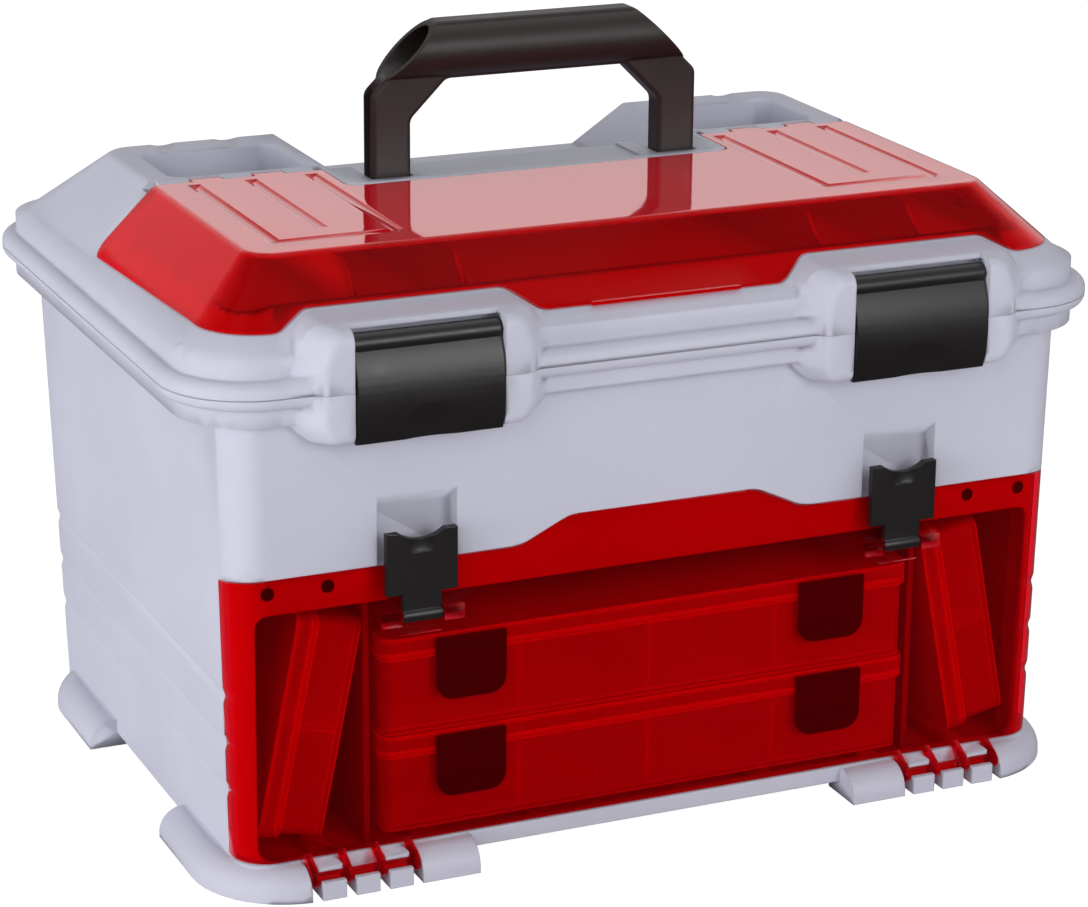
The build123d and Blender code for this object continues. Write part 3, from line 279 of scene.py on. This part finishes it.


# The door and the lid's cover: clear red plastic sheets, glossy on both faces. Light goes through
# the sheet and takes its colour on, and the faces mirror more at a slant. The cover's tint lets
# less green and blue through than the door's, and its own tone is set lighter than the door's:
# painted light on the cover and painted shade on the door.
def clear_red_sheet(name, light, deep, tint):
    """A clear red sheet: light and deep are its own tones, tint colours what is seen through it."""
    material = bpy.data.materials.new(name)
    material.use_nodes = True
    tree = material.node_tree
    link = tree.links.new
    skin = tree.nodes["Principled BSDF"]
    skin.inputs["Roughness"].default_value = 0.07
    skin.inputs["Coat Weight"].default_value = 1.0
    skin.inputs["Coat Roughness"].default_value = 0.04
    place = tree.nodes.new("ShaderNodeTexCoord")
    flow = tree.nodes.new("ShaderNodeTexNoise")
    flow.inputs["Scale"].default_value = 14.0
    flow.inputs["Detail"].default_value = 2.0
    red_tone = two_tones(tree, deep, light)
    eased = eased_edge(tree, 0.0008)
    ripple = tree.nodes.new("ShaderNodeBump")
    ripple.inputs["Strength"].default_value = 0.25
    ripple.inputs["Distance"].default_value = 0.0006
    through = tree.nodes.new("ShaderNodeBsdfTransparent")
    through.inputs["Color"].default_value = tint
    body_share = remap(tree, (0.04, 0.26), (0.025, 1))
    film = tree.nodes.new("ShaderNodeMixShader")
    link(place.outputs["Object"], flow.inputs["Vector"])
    link(flow.outputs["Fac"], red_tone.inputs["Factor"])
    link(red_tone.outputs["Result"], skin.inputs["Base Color"])
    link(flow.outputs["Fac"], ripple.inputs["Height"])
    link(eased.outputs["Normal"], ripple.inputs["Normal"])
    link(ripple.outputs["Normal"], skin.inputs["Normal"])
    link(sheet_slant(tree), body_share.inputs["Value"])
    link(body_share.outputs["Result"], film.inputs["Fac"])
    link(through.outputs["BSDF"], film.inputs[1])
    link(skin.outputs["BSDF"], film.inputs[2])
    link(film.outputs["Shader"], tree.nodes["Material Output"].inputs["Surface"])
    return material


# The door's own red is set darker than the cover's: painted shade.
door_red_painted_shade = clear_red_sheet(
    "door_red_painted_shade", light=(0.80, 0.002, 0.018, 1), deep=(0.70, 0.0, 0.012, 1),
    tint=(0.975, 0.10, 0.17, 1),
)
# The cover's own red is set lighter than the door's: painted light.
cover_red_painted_light = clear_red_sheet(
    "cover_red_painted_light", light=(1.0, 0.004, 0.020, 1), deep=(0.94, 0.002, 0.014, 1),
    tint=(0.97, 0.05, 0.08, 1),
)
smooth_copy("front_door", "door", door_red_painted_shade)
smooth_copy("lid_cover", "cover", cover_red_painted_light)

# Latches and handle: stiff black plastic with a satin pebble texture. The latches are plain black,
# and the handle is browner and duller.
satin_black = moulded_plastic(
    "satin_black", light=(0.012, 0.009, 0.010, 1), deep=(0.008, 0.006, 0.007, 1),
    pebbles=1100, pebble_height=0.00009, shine=(0.38, 0.29), edge=0.0009,
)
handle_black = moulded_plastic(
    "handle_black", light=(0.024, 0.013, 0.013, 1), deep=(0.017, 0.010, 0.010, 1),
    pebbles=1100, pebble_height=0.00008, shine=(0.48, 0.38), edge=0.0009,
)
for hand in ("left", "right"):
    for latch in ("lid_latch_", "door_latch_"):
        smooth_copy(latch + hand, latch + hand[0], satin_black)
smooth_copy("carry_handle", "handle", handle_black)

# Studio floor: pale paper that runs out of sight. The camera sees it nearly white, and glossy faces
# see it dim, so that the box mirrors no bright floor.
FLOOR_HALF = 6.0
WHITE_SHARE = 0.86
WHITE_GLOW = 1.14
MIRRORED_GLOW = 0.07
pale_floor = bpy.data.materials.new("pale_floor")
pale_floor.use_nodes = True
tree = pale_floor.node_tree
link = tree.links.new
paper = tree.nodes["Principled BSDF"]
paper.inputs["Base Color"].default_value = (0.93, 0.93, 0.935, 1)
paper.inputs["Roughness"].default_value = 0.7
glow = tree.nodes.new("ShaderNodeEmission")
glow.inputs["Strength"].default_value = WHITE_GLOW
rays = tree.nodes.new("ShaderNodeLightPath")
direct = tree.nodes.new("ShaderNodeMath")
direct.operation = "MULTIPLY"
direct.inputs[1].default_value = WHITE_SHARE
washed = tree.nodes.new("ShaderNodeMixShader")
dim = tree.nodes.new("ShaderNodeEmission")
dim.inputs["Strength"].default_value = MIRRORED_GLOW
mirrored = tree.nodes.new("ShaderNodeMixShader")
link(rays.outputs["Is Camera Ray"], direct.inputs[0])
link(direct.outputs["Value"], washed.inputs["Fac"])
link(paper.outputs["BSDF"], washed.inputs[1])
link(glow.outputs["Emission"], washed.inputs[2])
link(rays.outputs["Is Glossy Ray"], mirrored.inputs["Fac"])
link(washed.outputs["Shader"], mirrored.inputs[1])
link(dim.outputs["Emission"], mirrored.inputs[2])
link(mirrored.outputs["Shader"], tree.nodes["Material Output"].inputs["Surface"])
sheet = bmesh.new()
bmesh.ops.create_grid(sheet, x_segments=1, y_segments=1, size=FLOOR_HALF)
floor_mesh = bpy.data.meshes.new("floor")
sheet.to_mesh(floor_mesh)
sheet.free()
floor_mesh.materials.append(pale_floor)
floor = bpy.data.objects.new("floor", floor_mesh)
bpy.context.scene.collection.objects.link(floor)

# Studio room: white and even as a light. Glossy faces see it bright overhead, at the rear and at
# the right, and dim low down, at the front and at the left.
EVEN_LIGHT = 0.30
room = bpy.data.worlds.new("room")
room.use_nodes = True
tree = room.node_tree
link = tree.links.new
even_light = tree.nodes["Background"]
even_light.inputs["Strength"].default_value = EVEN_LIGHT
seen = tree.nodes.new("ShaderNodeBackground")
for ground in (even_light, seen):
    ground.inputs["Color"].default_value = (1, 1, 1, 1)
rays = tree.nodes.new("ShaderNodeLightPath")
sharp_ray = rays.outputs["Is Camera Ray"]
for kind in ("Is Glossy Ray", "Is Transmission Ray"):
    either = tree.nodes.new("ShaderNodeMath")
    either.operation = "MAXIMUM"
    link(sharp_ray, either.inputs[0])
    link(rays.outputs[kind], either.inputs[1])
    sharp_ray = either.outputs["Value"]
direction = tree.nodes.new("ShaderNodeTexCoord")
parts = tree.nodes.new("ShaderNodeSeparateXYZ")
ceiling = remap(tree, (0, 0.35), (0.2, 0.96))
rear = remap(tree, (-0.4, 0.4), (0.35, 1))
right_side = remap(tree, (-0.35, 0.25), (0.3, 1))
rear_and_right = tree.nodes.new("ShaderNodeMath")
rear_and_right.operation = "MULTIPLY"
mirrored_room = tree.nodes.new("ShaderNodeMath")
mirrored_room.operation = "MULTIPLY"
plain_sight = tree.nodes.new("ShaderNodeMath")
plain_sight.operation = "MAXIMUM"
choose = tree.nodes.new("ShaderNodeMixShader")
link(direction.outputs["Generated"], parts.inputs["Vector"])
for axis, share in (("X", right_side), ("Y", rear), ("Z", ceiling)):
    link(parts.outputs[axis], share.inputs["Value"])
link(rear.outputs["Result"], rear_and_right.inputs[0])
link(right_side.outputs["Result"], rear_and_right.inputs[1])
link(ceiling.outputs["Result"], mirrored_room.inputs[0])
link(rear_and_right.outputs["Value"], mirrored_room.inputs[1])
link(mirrored_room.outputs["Value"], plain_sight.inputs[0])
link(rays.outputs["Is Camera Ray"], plain_sight.inputs[1])
link(plain_sight.outputs["Value"], seen.inputs["Strength"])
link(sharp_ray, choose.inputs["Fac"])
link(even_light.outputs["Background"], choose.inputs[1])
link(seen.outputs["Background"], choose.inputs[2])
link(choose.outputs["Shader"], tree.nodes["World Output"].inputs["Surface"])
bpy.context.scene.world = room


# Studio lights: a small panel at the front that the bowed latches mirror, broad soft panels at the
# left, the front left and overhead, and weak fills from the right and the rear.
def panel_light(name, place, aim, size, watts, mirrored):
    """A rectangular soft light that faces a point on the box, and shows in glossy faces or not."""
    lamp = bpy.data.lights.new(name, "AREA")
    lamp.shape = "RECTANGLE"
    lamp.size, lamp.size_y = size
    lamp.energy = watts
    stand = bpy.data.objects.new(name, lamp)
    stand.location = place
    stand.rotation_euler = (Vector(aim) - Vector(place)).to_track_quat("-Z", "Y").to_euler()
    stand.visible_glossy = mirrored
    bpy.context.scene.collection.objects.link(stand)


LEFT_LATCH = (-0.1, -0.17, 0.25)
BAY = (0, 0, 0.15)
DECK = (0, 0, 0.2)
panel_light("front", (0.55, -1.80, 0.80), LEFT_LATCH, size=(0.7, 0.8), watts=12, mirrored=True)
panel_light("front_left", (-1.6, -2.0, 1.5), BAY, size=(1.6, 1.4), watts=13, mirrored=True)
panel_light("left", (-2.6, -0.3, 0.25), BAY, size=(1.4, 1.2), watts=58, mirrored=False)
panel_light("right_fill", (2.2, -1.2, 0.9), BAY, size=(1.2, 1.4), watts=1.5, mirrored=True)
panel_light("overhead", (0.2, 0.3, 2.2), DECK, size=(2.0, 1.4), watts=4, mirrored=True)
panel_light("rear_fill", (0.8, 2.3, 0.7), BAY, size=(1.4, 1.2), watts=9, mirrored=False)

# Camera: in front of the box and to its left, a little above it, with a long lens. It is framed as
# a picture of 1088 by 907 pixels.
AIM = Vector((-0.0626, -0.1565, 0.1992))
TURN, RISE, ROLL = math.radians(-24.0), math.radians(18.3), math.radians(0.5)
DISTANCE = 1.5855
FOCAL_PIXELS, PICTURE_WIDTH = 3433.4, 1088
back = Vector((math.sin(TURN) * math.cos(RISE), -math.cos(TURN) * math.cos(RISE), math.sin(RISE)))
level = Vector((math.cos(TURN), math.sin(TURN), 0))
upright = back.cross(level)
right = level * math.cos(ROLL) + upright * math.sin(ROLL)
up = upright * math.cos(ROLL) - level * math.sin(ROLL)
facing = Matrix((right, up, back)).transposed().to_4x4()
lens = bpy.data.cameras.new("camera")
lens.sensor_width = 36.0
lens.lens = FOCAL_PIXELS / PICTURE_WIDTH * lens.sensor_width
lens.clip_start, lens.clip_end = 0.05, 50
camera = bpy.data.objects.new("camera", lens)
camera.matrix_world = Matrix.Translation(AIM + back * DISTANCE) @ facing
bpy.context.scene.collection.objects.link(camera)
bpy.context.scene.camera = camera
bpy.context.scene.view_settings.view_transform = "Standard"
